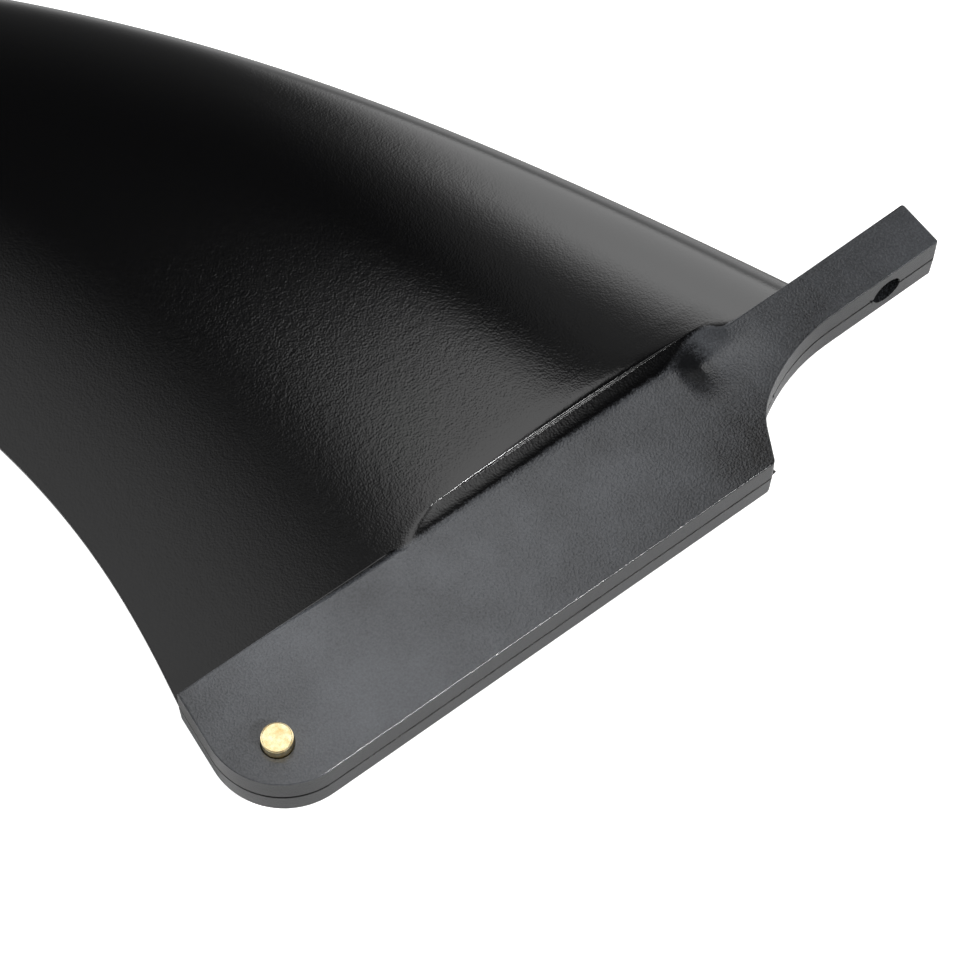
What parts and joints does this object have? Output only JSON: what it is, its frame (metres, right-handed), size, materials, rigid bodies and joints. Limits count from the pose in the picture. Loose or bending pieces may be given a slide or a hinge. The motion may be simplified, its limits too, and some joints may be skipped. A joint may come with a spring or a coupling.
{
  "type": "paddleboard fin",
  "caption": "Swept centre fin with a foiled blade, a slab base for a slotted fin box, a screw tongue at the front and a brass cross pin through the heel.",
  "frame": {"origin": "on the screw hole's axis, at the root line where the fin meets the board's bottom, on the fin's mid-plane", "axes": "+X along the base from the heel towards the screw tongue, +Y from the base towards the blade's tip and the way the screw leaves, +Z across the fin's thickness"},
  "size_m": [0.1835, 0.1988, 0.0136],
  "materials": {
    "moulded_plastic": "black filled nylon as moulded: polished blade, satin base",
    "brass": "bright drawn rod with faced ends"
  },
  "bodies": {
    "root": {"fin_body": "moulded_plastic", "cross_pin": "brass"}
  },
  "joints": []
}
